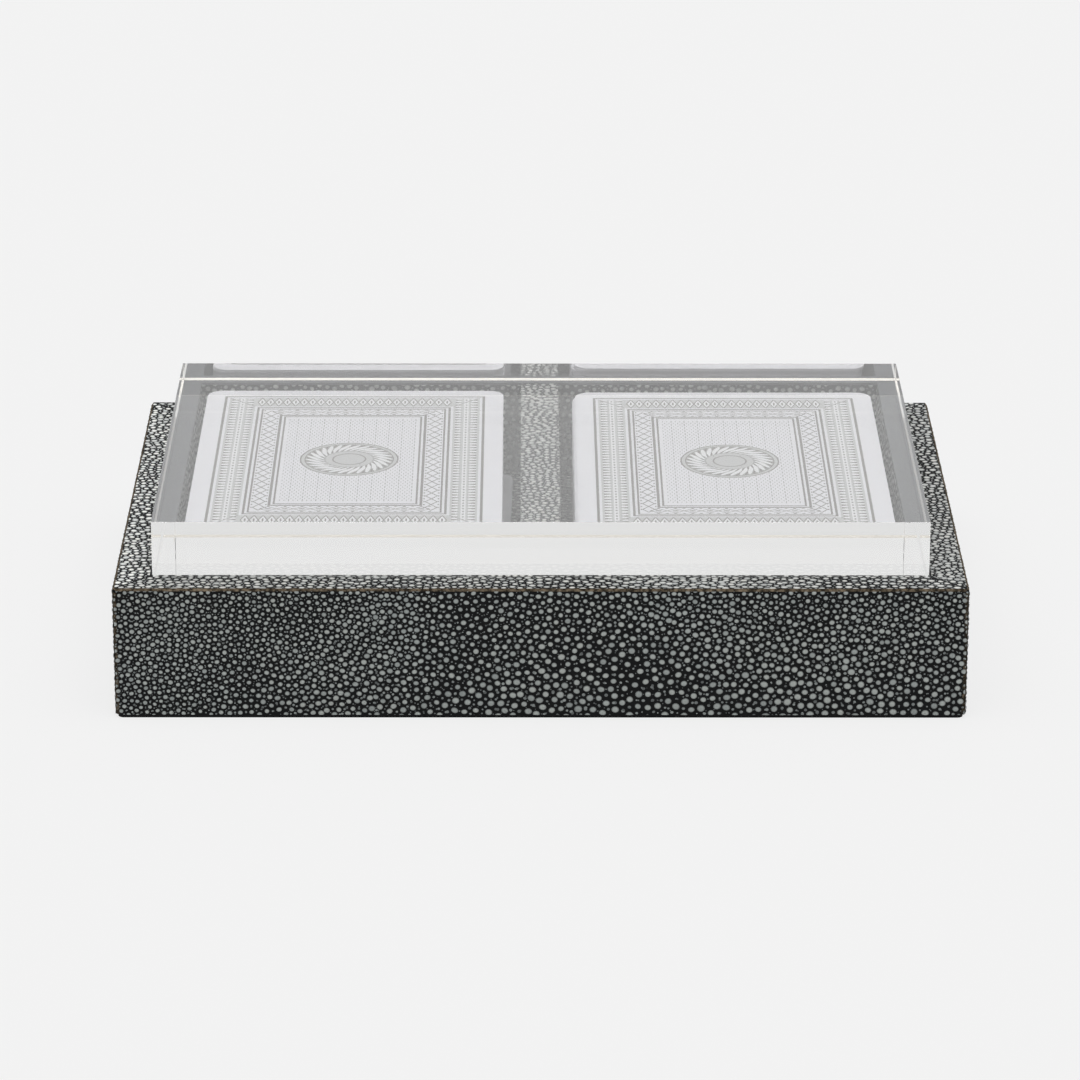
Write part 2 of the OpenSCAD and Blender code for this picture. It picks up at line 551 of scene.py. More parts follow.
def edge_group():
    """Masks of the slanting faces and of the rounded upright corners, frayed by noise"""
    name = "Sanded edge"
    made = shader_group(
        name,
        (("Vector", "Vector", None), ("Normal", "Vector", None), ("Fray", "Float", 900.0)),
        (("Side", "Float"), ("Corner", "Float"), ("Wear", "Float")),
    )
    if made:
        tree, given, result = made
        wear = noise(tree, given["Vector"], given["Fray"], 4.0, 0.65)
        normal = split_xyz(tree, given["Normal"])
        level = calc(tree, "ABSOLUTE", normal["Z"])
        off = calc(tree, "ABSOLUTE", calc(tree, "SUBTRACT", level, 0.6))
        slant = calc(tree, "ABSOLUTE", calc(tree, "MULTIPLY", normal["X"], normal["Y"]))
        frayed = calc(tree, "ADD", slant, calc(tree, "MULTIPLY", wear, 0.35))
        tree.links.new(ranged(tree, off, 0.38, 0.3, 0.0, 1.0), result["Side"])
        tree.links.new(ranged(tree, frayed, 0.42, 0.62, 0.0, 1.0), result["Corner"])
        tree.links.new(wear, result["Wear"])
    return bpy.data.node_groups[name]


# Materials

# Sockets of a Mix node for colours, because those for numbers bear the same names
MIX_FIRST, MIX_SECOND, MIX_RESULT = 6, 7, 2

# Waves of the linen finish on the cards, and what is left of white light in the acrylic
LINEN_PITCH = 0.62 * MM
ACRYLIC_TINT = (0.5, 0.49, 0.45, 1.0)


def new_material(name):
    """Material with its tree, its Principled shader and the texture coordinates"""
    material = bpy.data.materials.new(name)
    material.use_nodes = True
    tree = material.node_tree
    where = tree.nodes.new("ShaderNodeTexCoord").outputs
    return material, tree, tree.nodes["Principled BSDF"], where


def toned(colour, gain):
    """Colour made darker or lighter"""
    return tuple(gain * c for c in colour)


def mixed(tree, factor, first, second):
    """Colour between two colours"""
    inputs = {0: factor}
    for key, value in ((MIX_FIRST, first), (MIX_SECOND, second)):
        inputs[key] = value if isinstance(value, bpy.types.NodeSocket) else (*value[:3], 1.0)
    return add(tree, "ShaderNodeMix", inputs, data_type="RGBA").outputs[MIX_RESULT]


def bump(tree, height, strength, distance):
    """Normal bent by a height"""
    inputs = {"Height": height, "Strength": strength, "Distance": distance}
    return add(tree, "ShaderNodeBump", inputs).outputs[0]


def grained(tree, where, grains, mottle):
    """Fine grain placed in a material"""
    inputs = {"Vector": where["Object"], "Grains": grains, "Mottle": mottle}
    return add(tree, "ShaderNodeGroup", inputs, node_tree=grain_group()).outputs


def ground_material(name, bare, sheen, worn_from):
    """Dyed hide between the beads, bare where its 'Side' or 'Corner' edge is sanded"""
    hide = settings("hide")
    material, tree, shader, where = new_material(name)
    grain = grained(tree, where, 5200.0, 260.0)
    dyed = mixed(tree, grain["Tone"], toned(hide.ground, 0.55), toned(hide.ground, 2.1))
    inputs = {"Vector": where["Object"], "Normal": where["Normal"], "Fray": 850.0}
    edge = add(tree, "ShaderNodeGroup", inputs, node_tree=edge_group()).outputs
    worn = ranged(tree, edge["Wear"], worn_from, worn_from + 0.24, 0.0, 1.0)
    raw = mixed(tree, worn, toned(hide.raw, 0.12), hide.raw)
    rough = calc(tree, "ADD", 0.5, calc(tree, "MULTIPLY", grain["Tone"], 0.2))
    finish = {
        "Base Color": mixed(tree, edge[bare], dyed, raw),
        "Roughness": calc(tree, "MAXIMUM", rough, edge[bare]),
        "Normal": bump(tree, grain["Height"], 0.5, 0.05 * MM),
        "Specular IOR Level": sheen,
    }
    feed(tree, shader, finish)
    return material


def bead_material(name, light=(1.0, 1.0, 1.0)):
    """Polished beads, each with its own tone, a darker pore and a darker foot, made lighter by a gain of
    painted light
    """
    hide = settings("hide")
    material, tree, shader, where = new_material(name)
    tone = add(tree, "ShaderNodeAttribute", attribute_name="bead_tone").outputs["Fac"]
    reach = add(tree, "ShaderNodeAttribute", attribute_name="bead_reach").outputs["Fac"]
    grain = grained(tree, where, 9000.0, 55.0)
    # Painted light: the gain 'light' paints lit copies of the beads, lighter on the rim, in the wells
    # and on the divider
    cool = tuple(gain * c for gain, c in zip(light, hide.cool))
    warm = tuple(gain * c for gain, c in zip(light, hide.warm))

    # Drift from cool to warm, from bead to bead and over the hide
    own = calc(tree, "MULTIPLY", tone, 0.3)
    drift = calc(tree, "ADD", own, calc(tree, "MULTIPLY", grain["Tone"], 0.75))
    colour = mixed(tree, ranged(tree, drift, 0.15, 0.95, 0.0, 1.0), cool, warm)

    # Pore in the middle of each bead
    pore = ranged(tree, reach, 0.02, 0.3, 0.35, 0.0)
    deep = mixed(tree, tone, toned(cool, 0.55), toned(warm, 0.78))
    colour = mixed(tree, pore, colour, deep)

    # Patches of hide where the dye has stayed on some beads
    patches = noise(tree, where["Object"], 85.0, 2.0)
    uneven = calc(tree, "ADD", tone, calc(tree, "MULTIPLY", patches, 1.1))
    shaded = ranged(tree, uneven, 0.45, 1.15, 0.42, 0.0)
    colour = mixed(tree, shaded, colour, toned(cool, 0.3))

    # Dyed foot of each bead, and small beads that the polishing has not reached
    foot = ranged(tree, reach, 0.62, 1.0, 0.0, 0.8)
    dull = ranged(tree, tone, -1.0, 0.0, 0.9, 0.0)
    sunk = calc(tree, "MAXIMUM", foot, dull)
    finish = {
        "Base Color": mixed(tree, sunk, colour, toned(hide.ground, 3.0)),
        "Roughness": ranged(tree, grain["Tone"], 0.2, 0.9, 0.26, 0.42),
        "Normal": bump(tree, grain["Height"], 0.15, 0.01 * MM),
    }
    feed(tree, shader, finish)
    return material


def leather_material():
    """Smooth dark leather on the ledge"""
    material, tree, shader, where = new_material("ledge leather")
    grain = grained(tree, where, 2600.0, 140.0)
    finish = {
        "Base Color": mixed(tree, grain["Tone"], (0.094, 0.097, 0.107), (0.142, 0.147, 0.16)),
        "Roughness": ranged(tree, grain["Tone"], 0.2, 0.9, 0.42, 0.6),
        "Normal": bump(tree, grain["Height"], 0.35, 0.03 * MM),
    }
    feed(tree, shader, finish)
    return material


def board_material(covered_from):
    """Plain wood of the boards, with its grain along X, dyed black above a height"""
    material, tree, shader, where = new_material("board wood")
    inputs = {"Vector": where["Object"], "Scale": (18.0, 210.0, 210.0)}
    stretched = add(tree, "ShaderNodeMapping", inputs).outputs[0]
    rings = noise(tree, stretched, 1.0, 5.0, distortion=0.6)
    grain = grained(tree, where, 1800.0, 60.0)
    pale = mixed(tree, rings, (0.17, 0.10, 0.05), (0.36, 0.24, 0.13))
    wood = mixed(tree, calc(tree, "MULTIPLY", grain["Tone"], 0.4), pale, (0.12, 0.07, 0.035))
    dyed = mixed(tree, grain["Tone"], (0.012, 0.012, 0.013), (0.03, 0.03, 0.032))
    above = calc(tree, "GREATER_THAN", split_xyz(tree, where["Object"])["Z"], covered_from)
    finish = {
        "Base Color": mixed(tree, above, wood, dyed),
        "Roughness": ranged(tree, rings, 0.3, 0.7, 0.5, 0.68),
        "Normal": bump(tree, rings, 0.25, 0.06 * MM),
    }
    feed(tree, shader, finish)
    return material


def felt_material():
    """Black felt under the box"""
    material, tree, shader, where = new_material("black felt")
    fibre = noise(tree, where["Object"], 2400.0, 6.0, 0.7, 1.2)
    finish = {
        "Base Color": mixed(tree, fibre, (0.004, 0.004, 0.0045), (0.026, 0.026, 0.028)),
        "Roughness": ranged(tree, fibre, 0.2, 0.8, 0.85, 1.0),
        "Normal": bump(tree, fibre, 0.6, 0.15 * MM),
        "Sheen Weight": 0.25,
        "Specular IOR Level": 0.1,
    }
    feed(tree, shader, finish)
    return material


def paper_material():
    """White card stock with a faint linen finish; its cut edges carry painted shade and a tone of their
    own per card
    """
    cards = settings("cards")
    material, tree, shader, where = new_material("card stock")
    place = split_xyz(tree, where["Object"])
    waves = math.tau / LINEN_PITCH
    across = calc(tree, "SINE", calc(tree, "MULTIPLY", place["X"], waves))
    along = calc(tree, "SINE", calc(tree, "MULTIPLY", place["Y"], waves))
    weave = calc(tree, "MULTIPLY", across, along)
    grain = grained(tree, where, 3000.0, 90.0)
    layer = calc(tree, "FLOOR", calc(tree, "DIVIDE", place["Z"], CARD_PITCH))
    shade = add(tree, "ShaderNodeTexWhiteNoise", {"W": layer}, noise_dimensions="1D").outputs["Value"]
    # Painted shade: upright faces, the cut edges of the cards, are painted darker than the face, each
    # card a little different
    level = calc(tree, "ABSOLUTE", split_xyz(tree, where["Normal"])["Z"])
    upright = calc(tree, "SUBTRACT", 1.0, level)
    shaded_cut_edge = mixed(tree, shade, toned(cards.paper, 0.66), toned(cards.paper, 0.88))
    faint = calc(tree, "MULTIPLY", grain["Tone"], 0.25)
    face = mixed(tree, faint, cards.paper, toned(cards.paper, 0.95))
    finish = {
        "Base Color": mixed(tree, upright, face, shaded_cut_edge),
        "Roughness": ranged(tree, grain["Tone"], 0.2, 0.9, 0.38, 0.5),
        "Normal": bump(tree, weave, 0.12, 0.01 * MM),
    }
    feed(tree, shader, finish)
    return material


def ink_material(name, colour):
    """Printed ink, a little uneven as print is"""
    material, tree, shader, where = new_material(name)
    grain = grained(tree, where, 8000.0, 700.0)
    thin = tuple(min(1.0, c) for c in toned(colour, 1.1))
    finish = {
        "Base Color": mixed(tree, grain["Tone"], toned(colour, 0.9), thin),
        "Roughness": ranged(tree, grain["Tone"], 0.2, 0.9, 0.4, 0.55),
    }
    feed(tree, shader, finish)
    return material


def acrylic_material(name, low, high, clear, colour):
    """Acrylic whose roughness drifts between two values, clear or frosted"""
    lid = settings("lid")
    material, tree, shader, where = new_material(name)
    haze = noise(tree, where["Object"], 60.0, 5.0, 0.6)
    finish = {
        "Base Color": (*colour, 1.0),
        "Roughness": ranged(tree, haze, 0.45, 0.75, low, high),
        "IOR": lid.ior,
        "Transmission Weight": clear,
    }
    feed(tree, shader, finish)
    tinted = add(tree, "ShaderNodeVolumeAbsorption", {"Color": ACRYLIC_TINT, "Density": lid.tint})
    tree.links.new(tinted.outputs[0], tree.nodes["Material Output"].inputs["Volume"])
    return material


# Beaded hide

# How beads push each other apart: rounds, neighbours looked at, reach in spacings, and strength
PUSH_ROUNDS = 40
PUSH_NEIGHBOURS = 9
PUSH_REACH = 1.5
PUSH_STRENGTH = 0.1

# Sockets of a Random Value node for numbers, because those for other kinds bear the same names
RANDOM_LOW, RANDOM_HIGH, RANDOM_SEED, RANDOM_RESULT = 2, 3, 8, 1

# Faces smaller than this, in square metres, are left over from trimming
TRIMMINGS = 1.0e-13


def hide_size(across, up):
    """Size of the beads over a hide, with both places from -1 to 1: larger low and to the right"""
    spine = 0.5 + 0.5 * math.tanh(3.0 * (across + 0.45))
    rise = (0.62 - 0.38 * up) * (1.0 - 0.22 * max(0.0, across))
    ripple = 0.04 * math.sin(5.0 * across + 1.3 * up) + 0.03 * math.sin(11.0 * across - 2.0 * up)
    return 0.92 + 0.66 * spine * rise + ripple


def even_size(across, up):
    """Size of the beads on a strip, with a slight ripple along it"""
    return 1.0 + 0.07 * math.sin(4.0 * across + up) + 0.05 * math.sin(9.0 * across)


def pushed_apart(places, spacing, half_x, half_y):
    """Places after each has moved a little away from its neighbours, inside the given bounds"""
    tree = KDTree(len(places))
    for index, (x, y) in enumerate(places):
        tree.insert((x, y, 0.0), index)
    tree.balance()
    moved = []
    for x, y in places:
        far = PUSH_REACH * spacing(x, y)
        push_x = push_y = 0.0
        for other, index, distance in tree.find_n((x, y, 0.0), PUSH_NEIGHBOURS):
            if 0.0 < distance < far:
                push = PUSH_STRENGTH * (far / distance - 1.0)
                push_x += push * (x - other[0])
                push_y += push * (y - other[1])
        new_x = min(max(x + push_x, -half_x), half_x)
        new_y = min(max(y + push_y, -half_y), half_y)
        moved.append((new_x, new_y))
    return moved


def strewn(length, width, spacing, dice):
    """Places over a strip, thrown at random and then pushed apart until they lie evenly"""
    margin = 3 * MM
    half_x, half_y = length / 2 + margin, width / 2 + margin
    least = min(spacing(x * half_x / 8, y * half_y / 2) for x in range(-8, 9) for y in range(-2, 3))
    room_each = 0.88 * least**2
    places = []
    for throw in range(round(4 * half_x * half_y / room_each)):
        x, y = dice.uniform(-half_x, half_x), dice.uniform(-half_y, half_y)
        if dice.random() < (least / spacing(x, y)) ** 2:
            places.append((x, y))
    for turn in range(PUSH_ROUNDS):
        places = pushed_apart(places, spacing, half_x, half_y)
    return places


def middle_of(a, b, c):
    """Place that is as far from each of three points, or None where they lie almost in a line"""
    area = 2 * ((b - a).cross(c - a))
    if abs(area) < 0.2 * settings("hide").spacing ** 2:
        return None
    u, v = b - a, c - a
    x = a.x + (v.y * u.length_squared - u.y * v.length_squared) / area
    y = a.y + (u.x * v.length_squared - v.x * u.length_squared) / area
    return x, y


def hide_points(length, width, size_at, fill, coarse, plain, seed):
    """Points of large beads, medium beads in the gaps between three of them and tiny beads between two

    Each bead is (x, y, radius, kind of shape, how far its tone is lowered). A plain hide takes simpler
    shapes, half of the medium beads and no tiny ones.
    """
    hide = settings("hide")
    dice = random.Random(seed)

    def size(x, y):
        """Size of the beads at one place"""
        return coarse * size_at(2 * x / length, 2 * y / width)

    places = strewn(length, width, lambda x, y: hide.spacing * size(x, y), dice)
    beads = []
    for x, y in places:
        radius = fill * hide.spacing * size(x, y) * dice.uniform(0.84, 1.08)
        beads.append((x, y, radius, MEDIUM if plain else LARGE, 0.0))
    near = [Vector(place) for place in places]
    corners, edges, faces = delaunay_2d_cdt(near, [], [], 0, 1.0e-9)[:3]
    gap = 0.05 * hide.spacing * coarse

    def room(x, y, ring):
        """Space at a place between some large beads"""
        return min(math.hypot(x - beads[i][0], y - beads[i][1]) - beads[i][2] for i in ring) - gap

    small = []
    for face in faces:
        middle = middle_of(*(corners[i] for i in face))
        if middle is None:
            continue
        x, y = middle
        limit = hide.medium * size(x, y) * dice.uniform(0.35, 1.0)
        radius = min(room(x, y, face), limit)
        wanted = dice.random() < 0.5 if plain else True
        if wanted and radius > 0.5 * hide.tiny:
            kind = TINY if plain or radius < hide.tiny else MEDIUM
            small.append((x, y, radius, kind, MEDIUM_DYED))
    for first, second in () if plain else edges:
        x, y = (corners[first] + corners[second]) / 2
        limit = hide.tiny * size(x, y) * dice.uniform(0.5, 1.0)
        radius = min(room(x, y, (first, second)), limit)
        if radius > 0.45 * hide.tiny and dice.random() < 0.4:
            small.append((x, y, radius, TINY, TINY_DYED))
    mesh = bpy.data.meshes.new("hide points")
    mesh.from_pydata([(bead[0], bead[1], 0.0) for bead in beads + small], [], [])
    for name, column in (("bead_r", 2), ("bead_kind", 3), ("bead_low", 4)):
        layer = mesh.attributes.new(name, "FLOAT", "POINT")
        layer.data.foreach_set("value", [float(bead[column]) for bead in beads + small])
    return mesh


def bead_tree():
    """Geometry tree that sets large, medium and tiny beads on the points of a hide and trims them"""
    name = "Beaded hide"
    if name in bpy.data.node_groups:
        return bpy.data.node_groups[name]
    tree, given, result = new_group(
        name,
        "GeometryNodeTree",
        (
            ("Points", "Geometry", None),
            ("Height", "Float", 0.0001),
            ("Half length", "Float", 0.1),
            ("Half width", "Float", 0.01),
            ("Mitre", "Float", 0.0),
            ("Seed", "Int", 0),
            ("Material", "Material", None),
        ),
        (("Beads", "Geometry"),),
    )
    position = tree.nodes.new("GeometryNodeInputPosition").outputs[0]

    def carried(name):
        """Value that each point of the hide carries"""
        node = add(tree, "GeometryNodeInputNamedAttribute", {"Name": name}, data_type="FLOAT")
        return node.outputs[0]

    def stored(geometry, name, value, domain):
        """Geometry that carries a value"""
        inputs = {"Geometry": geometry, "Name": name, "Value": value}
        node = add(tree, "GeometryNodeStoreNamedAttribute", inputs, data_type="FLOAT", domain=domain)
        return node.outputs[0]

    def without(geometry, unwanted, domain):
        """Geometry without its unwanted points or faces"""
        inputs = {"Geometry": geometry, "Selection": unwanted}
        return add(tree, "GeometryNodeDeleteGeometry", inputs, domain=domain).outputs[0]

    def random_value(low, high, seed):
        """Random number for each point"""
        inputs = {RANDOM_LOW: low, RANDOM_HIGH: high}
        inputs[RANDOM_SEED] = calc(tree, "ADD", given["Seed"], seed)
        return add(tree, "FunctionNodeRandomValue", inputs, data_type="FLOAT").outputs[RANDOM_RESULT]

    def end_at(y):
        """Half the length of the strip at one place across it"""
        slant = calc(tree, "MULTIPLY", given["Mitre"], calc(tree, "ADD", y, given["Half width"]))
        return calc(tree, "SUBTRACT", given["Half length"], slant)

    def outside():
        """How far a point lies outside the strip, below zero inside it"""
        place = split_xyz(tree, position)
        over_x = calc(tree, "SUBTRACT", calc(tree, "ABSOLUTE", place["X"]), end_at(place["Y"]))
        over_y = calc(tree, "SUBTRACT", calc(tree, "ABSOLUTE", place["Y"]), given["Half width"])
        return calc(tree, "MAXIMUM", over_x, over_y)

    def bead(sides, rings, top):
        """Flat dome of radius and height 1 that carries its own reach from the middle"""
        inputs = {"Vertices": sides, "Side Segments": 1, "Fill Segments": rings}
        inputs.update({"Radius Top": 0.8, "Radius Bottom": 1.0, "Depth": 1.0})
        cone = add(tree, "GeometryNodeMeshCone", inputs, fill_type=top).outputs
        open_cone = without(cone["Mesh"], cone["Bottom"], "FACE")
        place = split_xyz(tree, position)
        flat = join_xyz(tree, X=place["X"], Y=place["Y"])
        reach = add(tree, "ShaderNodeVectorMath", {0: flat}, operation="LENGTH").outputs["Value"]
        fall = calc(tree, "POWER", calc(tree, "MINIMUM", reach, 1.0), 3.0)
        crown = calc(tree, "SUBTRACT", 1.0, fall)
        dimple = calc(tree, "MULTIPLY", 0.2, calc(tree, "LESS_THAN", reach, 0.1))
        domed = join_xyz(tree, X=place["X"], Y=place["Y"], Z=calc(tree, "SUBTRACT", crown, dimple))
        inputs = {"Geometry": stored(open_cone, "bead_reach", reach, "POINT"), "Position": domed}
        return add(tree, "GeometryNodeSetPosition", inputs).outputs[0]

    radius = carried("bead_r")
    kind = carried("bead_kind")
    lowered = carried("bead_low")

    def planted(points, number, shape, rise):
        """Beads of one kind on their points, each turned, squeezed and toned in its own way"""
        seed = 10 * number
        wide = calc(tree, "MULTIPLY", radius, random_value(0.98, 1.14, seed))
        deep = calc(tree, "MULTIPLY", radius, random_value(0.88, 1.02, seed + 1))
        own_rise = calc(tree, "MULTIPLY", random_value(0.8, 1.15, seed + 2), rise)
        high = calc(tree, "MULTIPLY", given["Height"], own_rise)
        inputs = {
            "Points": points,
            "Selection": calc(tree, "COMPARE", kind, float(number), 0.1),
            "Instance": shape,
            "Rotation": join_xyz(tree, Z=random_value(-0.5, 0.5, seed + 3)),
            "Scale": join_xyz(tree, X=wide, Y=deep, Z=high),
        }
        beads = add(tree, "GeometryNodeInstanceOnPoints", inputs).outputs[0]
        tone = calc(tree, "ADD", lowered, random_value(0.0, 1.0, seed + 4))
        return stored(beads, "bead_tone", tone, "INSTANCE")

    too_far = calc(tree, "GREATER_THAN", outside(), calc(tree, "MULTIPLY", radius, 0.6))
    points = without(given["Points"], too_far, "POINT")
    together = tree.nodes.new("GeometryNodeJoinGeometry")
    for beads in (
        planted(points, LARGE, bead(10, 2, "TRIANGLE_FAN"), 1.0),
        planted(points, MEDIUM, bead(8, 1, "TRIANGLE_FAN"), 0.7),
        planted(points, TINY, bead(6, 1, "NGON"), 0.4),
    ):
        tree.links.new(beads, together.inputs[0])
    real = add(tree, "GeometryNodeRealizeInstances", {"Geometry": together.outputs[0]}).outputs[0]

    # Trimming: what stands over the strip's edge is pushed back to it
    place = split_xyz(tree, position)
    low = calc(tree, "MULTIPLY", given["Half width"], -1.0)
    inputs = {"Value": place["Y"], "Min": low, "Max": given["Half width"]}
    y = add(tree, "ShaderNodeClamp", inputs).outputs[0]
    end = end_at(y)
    inputs = {"Value": place["X"], "Min": calc(tree, "MULTIPLY", end, -1.0), "Max": end}
    x = add(tree, "ShaderNodeClamp", inputs).outputs[0]
    inputs = {"Geometry": real, "Position": join_xyz(tree, X=x, Y=y, Z=place["Z"])}
    trimmed = add(tree, "GeometryNodeSetPosition", inputs).outputs[0]
    area = tree.nodes.new("GeometryNodeInputMeshFaceArea").outputs[0]
    clean = without(trimmed, calc(tree, "LESS_THAN", area, TRIMMINGS), "FACE")
    smooth = add(tree, "GeometryNodeSetShadeSmooth", {"Geometry": clean}).outputs[0]
    inputs = {"Geometry": smooth, "Material": given["Material"]}
    tree.links.new(add(tree, "GeometryNodeSetMaterial", inputs).outputs[0], result[0])
    return tree


def beads_on(
    length,
    width,
    place,
    seed,
    material,
    size_at=even_size,
    mitre=0.0,
    fill=0.36,
    coarse=1.0,
    rise=1.0,
    plain=False,
):
    """Beads over a strip whose middle, length, width and outside a matrix puts in place"""
    mesh = grown(
        hide_points(length, width, size_at, fill, coarse, plain, seed),
        bead_tree(),
        {
            "Height": settings("hide").height * rise,
            "Half length": length / 2,
            "Half width": width / 2,
            "Mitre": mitre,
            "Seed": seed,
            "Material": material,
        },
    )
    mesh.transform(place)
    return mesh


def quarter(turn):
    """Quarter turns about the upright"""
    return Matrix.Rotation(turn * math.pi / 2, 4, "Z")


def side_sizes(low, high, turn):
    """Length of one side of a box, and how far that side lies from the middle"""
    wide, deep = high.x - low.x, high.y - low.y
    return (wide, deep / 2) if turn % 2 == 0 else (deep, wide / 2)


UPRIGHT = Matrix.Rotation(math.pi / 2, 4, "X")


class CARDBOX_OT_boards(bpy.types.Operator):
    """Gives the boards their wood and the underside its felt"""

    bl_idname = "cardbox.boards"
    bl_label = "Boards and felt"

    def execute(self, context):
        dress(BOARDS, board_material(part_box("front_ledge")[0].z))
        dress(("base_felt",), felt_material())
        return {"FINISHED"}


class CARDBOX_OT_grounds(bpy.types.Operator):
    """Gives the covering, its rim strips and the linings their dyed ground, and the ledge its leather"""

    bl_idname = "cardbox.grounds"
    bl_label = "Grounds of the covering"

    def execute(self, context):
        dress([s + "_cover" for s in SIDES], ground_material("cover ground", "Corner", 0.09, 0.48))
        strips = ground_material("strip ground", "Side", 0.06, 0.42)
        dress([s + "_rim" for s in SIDES] + ["divider_cap"], strips)
        lining = ground_material("lining ground", "Corner", 0.2, 0.5)
        for hand in HANDS:
            dress([f"{hand}_well_{wall}" for wall in WELL_WALLS[hand]], lining)
        dress([s + "_ledge" for s in SIDES], leather_material())
        sunk = settings("hide").height
        for hand in HANDS:
            floor = hand + "_well_floor"
            low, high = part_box(floor)
            size = Vector((high.x - low.x, high.y - low.y, high.z - low.z - sunk))
            middle = Vector(((low.x + high.x) / 2, (low.y + high.y) / 2, (low.z + high.z - sunk) / 2))
            work = bmesh.new()
            bmesh.ops.create_cube(work, size=1.0)
            bmesh.ops.scale(work, vec=size, verts=work.verts)
            bmesh.ops.translate(work, vec=middle, verts=work.verts)
            mesh = mesh_from(work, "floor")
            mesh.materials.append(lining)
            piece(hand + "_floor_hide", mesh, "box", (floor,))
        return {"FINISHED"}


class CARDBOX_OT_outer_beads(bpy.types.Operator):
    """Strews beads over the four outside faces"""

    bl_idname = "cardbox.outer_beads"
    bl_label = "Beads outside"

    def execute(self, context):
        material = bead_material("outer beads")
        for turn, side in enumerate(SIDES):
            length, reach = side_sizes(*CAD_BOX, turn)
            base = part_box(side + "_cover")[0].z
            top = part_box(side + "_rim")[1].z - RIM_BEVEL
            middle = (base + top) / 2
            place = quarter(turn) @ Matrix.Translation((0.0, -reach, middle)) @ UPRIGHT
            span = length - 2 * CORNER_ROUND
            seed = OUTER_SEED + turn
            mesh = beads_on(span, top - base, place, seed, material, hide_size, fill=0.318)
            piece(side + "_beads", mesh, "box")
        return {"FINISHED"}


class CARDBOX_OT_rim_beads(bpy.types.Operator):
    """Strews beads over the four mitred strips of the rim"""

    bl_idname = "cardbox.rim_beads"
    bl_label = "Beads on the rim"

    def execute(self, context):
        for turn, side in enumerate(SIDES):
            # Painted light: each rim strip's beads are painted lighter, by how the light falls on that
            # strip
            material = bead_material(side + " rim beads", toned(RIM_PAINTED_LIGHT, RIM_SIDE_PAINTED_LIGHT[side]))
            low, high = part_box(side + "_rim")
            size = high - low
            span = max(size.x, size.y) - 2 * RIM_BEVEL
            width = min(size.x, size.y) - RIM_BEVEL
            reach = side_sizes(*CAD_BOX, turn)[1]
            place = quarter(turn) @ Matrix.Translation((0.0, -reach + RIM_BEVEL + width / 2, high.z))
            look = {"mitre": 1.0, "fill": 0.39, "coarse": 1.12, "rise": 0.5}
            mesh = beads_on(span, width, place, RIM_SEED + turn, material, **look)
            piece(side + "_rim_beads", mesh, "box")
        return {"FINISHED"}


class CARDBOX_OT_well_beads(bpy.types.Operator):
    """Strews beads over the divider's cap and over the floor and walls of the wells"""

    bl_idname = "cardbox.well_beads"
    bl_label = "Beads in the wells"

    def execute(self, context):
        # Painted light: the lining's and the divider's beads are painted lighter than those outside
        material = bead_material("lining beads", LINING_PAINTED_LIGHT)
        low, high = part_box("divider_cap")
        place = Matrix.Translation((0.0, 0.0, high.z)) @ quarter(1)
        cap_beads = bead_material("divider beads", DIVIDER_PAINTED_LIGHT)
        cap = beads_on(high.y - low.y, high.x - low.x, place, DIVIDER_SEED, cap_beads, fill=0.42)
        piece("divider_beads", cap, "box")
        sunk = settings("hide").height
        for hand, seed in WELL_SEEDS.items():
            low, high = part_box(hand + "_well_floor")
            middle = (low + high) / 2
            place = Matrix.Translation((middle.x, middle.y, high.z - sunk))
            wide, deep = high.x - low.x, high.y - low.y
            parts = [beads_on(wide, deep, place, seed, material, coarse=1.25, plain=True)]
            for turn, wall in enumerate(WELL_WALLS[hand]):
                length, reach = side_sizes(low, high, turn)
                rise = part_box(f"{hand}_well_{wall}")[1].z - high.z
                place = (
                    Matrix.Translation((middle.x, middle.y, high.z + rise / 2))
                    @ quarter(turn)
                    @ Matrix.Translation((0.0, reach, 0.0))
                    @ UPRIGHT
                )
                wall_seed = seed + 1 + turn
                parts.append(beads_on(length, rise, place, wall_seed, material, coarse=1.1, plain=True))
            mesh = joined("well beads", [(part, 0) for part in parts], [material])
            piece(hand + "_well_beads", mesh, "box")
        return {"FINISHED"}


# Cards


def array_tree():
    """Geometry tree that repeats a printed mark in a row, turning it at each step, and then the row"""
    name = "Printed marks"
    if name in bpy.data.node_groups:
        return bpy.data.node_groups[name]
    tree, given, result = new_group(
        name,
        "GeometryNodeTree",
        (
            ("Mark", "Geometry", None),
            ("Count", "Int", 1),
            ("Step", "Vector", None),
            ("Rows", "Int", 1),
            ("Row step", "Vector", None),
            ("Turn", "Float", 0.0),
            ("Material", "Material", None),
        ),
        (("Marks", "Geometry"),),
    )
    index = tree.nodes.new("GeometryNodeInputIndex").outputs[0]

    def repeated(mark, count, step, **turned):
        """Instances of a mark along a line"""
        line = add(tree, "GeometryNodeMeshLine", {"Count": count, "Offset": step}).outputs[0]
        inputs = {"Points": line, "Instance": mark, **turned}
        return add(tree, "GeometryNodeInstanceOnPoints", inputs).outputs[0]

    turn = join_xyz(tree, Z=calc(tree, "MULTIPLY", index, given["Turn"]))
    marks = repeated(given["Mark"], given["Count"], given["Step"], Rotation=turn)
    rows = repeated(marks, given["Rows"], given["Row step"])
    real = add(tree, "GeometryNodeRealizeInstances", {"Geometry": rows}).outputs[0]
    inputs = {"Geometry": real, "Material": given["Material"]}
    tree.links.new(add(tree, "GeometryNodeSetMaterial", inputs).outputs[0], result[0])
    return tree


def box_outline(x0, y0, x1, y1):
    """Rectangle between two corners"""
    return [(x0, y0), (x1, y0), (x1, y1), (x0, y1)]


